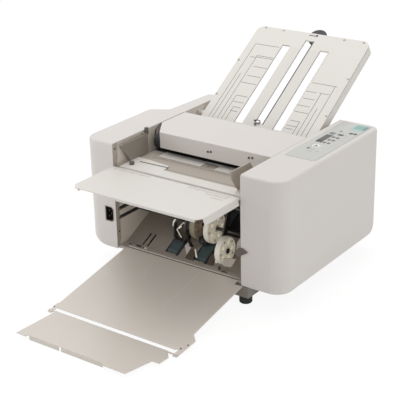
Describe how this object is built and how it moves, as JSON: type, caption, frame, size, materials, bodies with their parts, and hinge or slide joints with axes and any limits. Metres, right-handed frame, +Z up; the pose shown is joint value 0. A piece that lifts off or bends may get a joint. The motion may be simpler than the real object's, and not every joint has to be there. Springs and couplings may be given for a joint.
{
  "type": "paper folding machine",
  "caption": "Desktop paper folder: sloping feed table, moulded side covers, buckle fold rollers under a lid, folding upper table, belt delivery with stacker wheels and hinged tray.",
  "frame": {"origin": "middle of the whole machine's footprint, on the bench", "axes": "+X to the operator's right along the rollers, +Y from the operator to the feed table at the rear, +Z up"},
  "size_m": [0.5376, 0.9795, 0.4586],
  "materials": {
    "cover_white": "moulded off-white plastic, lightly textured",
    "painted_white": "off-white powder coat on sheet steel",
    "painted_grey": "grey-brown powder coat on sheet steel",
    "dark_steel": "dark satin paint on sheet steel",
    "bright_steel": "bright plated steel",
    "tray_sheet": "satin off-white paint on sheet steel",
    "roller_rubber": "ground dark grey rubber on steel journals",
    "belt_teal": "flat dark teal belt",
    "wheel_white": "moulded off-white nylon",
    "gear_nylon": "moulded natural nylon",
    "black_plastic": "black moulded plastic",
    "black_rubber": "black rubber",
    "panel_grey": "printed grey overlay",
    "display_grey": "smoked display window",
    "board_green": "green circuit board",
    "pan_grey": "grey powder coat on sheet steel",
    "motor_grey": "grey painted motor case",
    "start_white": "off-white moulded button"
  },
  "bodies": {
    "machine": {"base_pan": "pan_grey", "circuit_board": "board_green", "control_panel": "panel_grey", "delivery_ramp": "dark_steel", "display_lens": "display_grey", "drive_belt": "black_rubber", "entry_strip": "painted_white", "feed_guide": "bright_steel", "feed_table": "painted_white", "first_fold_plate": "painted_grey", "foot_front_left": "black_rubber", "foot_front_right": "black_rubber", "foot_rear_left": "black_rubber", "foot_rear_right": "black_rubber", "front_sill": "painted_white", "left_cover": "cover_white", "left_delivery_belt": "belt_teal", "left_latch": "dark_steel", "left_plate_arm": "painted_grey", "left_side_frame": "painted_grey", "left_table_bracket": "painted_white", "motor": "motor_grey", "paper_deflector": "painted_white", "power_inlet": "black_plastic", "rear_panel": "cover_white", "right_cover": "cover_white", "right_delivery_belt": "belt_teal", "right_latch": "dark_steel", "right_plate_arm": "painted_grey", "right_side_frame": "painted_grey", "right_table_bracket": "painted_white", "second_fold_plate": "bright_steel", "separator_pad": "black_rubber", "stacker_shaft_front": "bright_steel", "upper_table_rod": "bright_steel"},
    "upper_table": {"upper_table": "painted_white"},
    "lid": {"top_cover": "cover_white"},
    "tray": {"delivery_tray": "tray_sheet"},
    "extension": {"tray_extension": "tray_sheet"},
    "skew_knob": {"skew_knob": "black_plastic"},
    "start_button": {"start_button": "start_white"},
    "drive_train": {"fold_roller_4": "roller_rubber", "fold_gear_4": "gear_nylon", "drive_pulley": "gear_nylon"},
    "fold_train_1": {"fold_roller_1": "roller_rubber", "fold_gear_1": "gear_nylon"},
    "fold_train_2": {"fold_roller_2": "roller_rubber", "fold_gear_2": "gear_nylon"},
    "fold_train_3": {"fold_roller_3": "roller_rubber", "fold_gear_3": "gear_nylon"},
    "motor_rotor": {"motor_pulley": "bright_steel"},
    "feed_train": {"feed_roller": "roller_rubber"},
    "belt_front": {"belt_shaft_front": "bright_steel"},
    "belt_rear": {"belt_shaft_rear": "bright_steel"},
    "stacker_rear": {"stacker_shaft_rear": "bright_steel", "stacker_wheel_left": "wheel_white", "stacker_wheel_right": "wheel_white"},
    "stacker_arm": {"stacker_arm": "dark_steel"},
    "stacker_front": {"stacker_wheel_front": "wheel_white"}
  },
  "joints": [
    {"name": "upper_table_hinge", "type": "hinge", "parent": "machine", "child": "upper_table", "pos_m": [-0.00875, -0.11965, 0.2443], "axis": [-1, 0, 0], "range_deg": [0, 85]},
    {"name": "lid_hinge", "type": "hinge", "parent": "machine", "child": "lid", "pos_m": [-0.00875, 0.14835, 0.2953], "axis": [-1, 0, 0], "range_deg": [0, 70]},
    {"name": "tray_hinge", "type": "hinge", "parent": "machine", "child": "tray", "pos_m": [-0.00875, -0.10965, 0.0517], "axis": [-1, 0, 0], "range_deg": [0, 55]},
    {"name": "extension_hinge", "type": "hinge", "parent": "tray", "child": "extension", "pos_m": [-0.00875, -0.37035, 0.0049], "axis": [-1, 0, 0], "range_deg": [0, 155]},
    {"name": "skew_knob_turn", "type": "hinge", "parent": "machine", "child": "skew_knob", "pos_m": [0.00325, 0.46319, 0.44822], "axis": [0, -0.5388, 0.8425], "range_deg": [-180, 180]},
    {"name": "start_press", "type": "slide", "parent": "machine", "child": "start_button", "axis": [0, 0, -1], "range_m": [0, 0.001], "stiffness_N_per_m": 300, "springref_m": -0.0005},
    {"name": "drive_spin", "type": "hinge", "parent": "machine", "child": "drive_train", "pos_m": [-0.00875, 0.03835, 0.18407], "axis": [1, 0, 0], "continuous": true},
    {"name": "fold_1_spin", "type": "hinge", "parent": "machine", "child": "fold_train_1", "pos_m": [-0.00875, 0.03835, 0.2676], "axis": [1, 0, 0], "continuous": true},
    {"name": "fold_2_spin", "type": "hinge", "parent": "machine", "child": "fold_train_2", "pos_m": [-0.00875, 0.03835, 0.233], "axis": [1, 0, 0], "continuous": true},
    {"name": "fold_3_spin", "type": "hinge", "parent": "machine", "child": "fold_train_3", "pos_m": [-0.00875, 0.01389, 0.20853], "axis": [1, 0, 0], "continuous": true},
    {"name": "motor_spin", "type": "hinge", "parent": "machine", "child": "motor_rotor", "pos_m": [-0.00875, 0.10835, 0.0763], "axis": [1, 0, 0], "continuous": true},
    {"name": "feed_spin", "type": "hinge", "parent": "machine", "child": "feed_train", "pos_m": [-0.00875, 0.13579, 0.25855], "axis": [1, 0, 0], "continuous": true},
    {"name": "belt_front_spin", "type": "hinge", "parent": "machine", "child": "belt_front", "pos_m": [-0.00875, -0.0668, 0.05175], "axis": [1, 0, 0], "continuous": true},
    {"name": "belt_rear_spin", "type": "hinge", "parent": "machine", "child": "belt_rear", "pos_m": [-0.00875, 0.06251, 0.11623], "axis": [1, 0, 0], "continuous": true},
    {"name": "stacker_rear_spin", "type": "hinge", "parent": "machine", "child": "stacker_rear", "pos_m": [-0.00875, -0.03365, 0.1213], "axis": [1, 0, 0], "continuous": true},
    {"name": "stacker_arm_lift", "type": "hinge", "parent": "machine", "child": "stacker_arm", "pos_m": [0.08125, -0.03765, 0.1843], "axis": [-1, 0, 0], "range_deg": [0, 45]},
    {"name": "stacker_front_spin", "type": "hinge", "parent": "stacker_arm", "child": "stacker_front", "pos_m": [0.09125, -0.07265, 0.0953], "axis": [1, 0, 0], "continuous": true}
  ],
  "couplings": [
    {"joint": "fold_3_spin", "follows": "drive_spin", "ratio": -1},
    {"joint": "fold_2_spin", "follows": "drive_spin", "ratio": 1},
    {"joint": "fold_1_spin", "follows": "drive_spin", "ratio": -1},
    {"joint": "motor_spin", "follows": "drive_spin", "ratio": 2.4},
    {"joint": "belt_front_spin", "follows": "drive_spin", "ratio": 1.9},
    {"joint": "belt_rear_spin", "follows": "drive_spin", "ratio": 1.9}
  ]
}
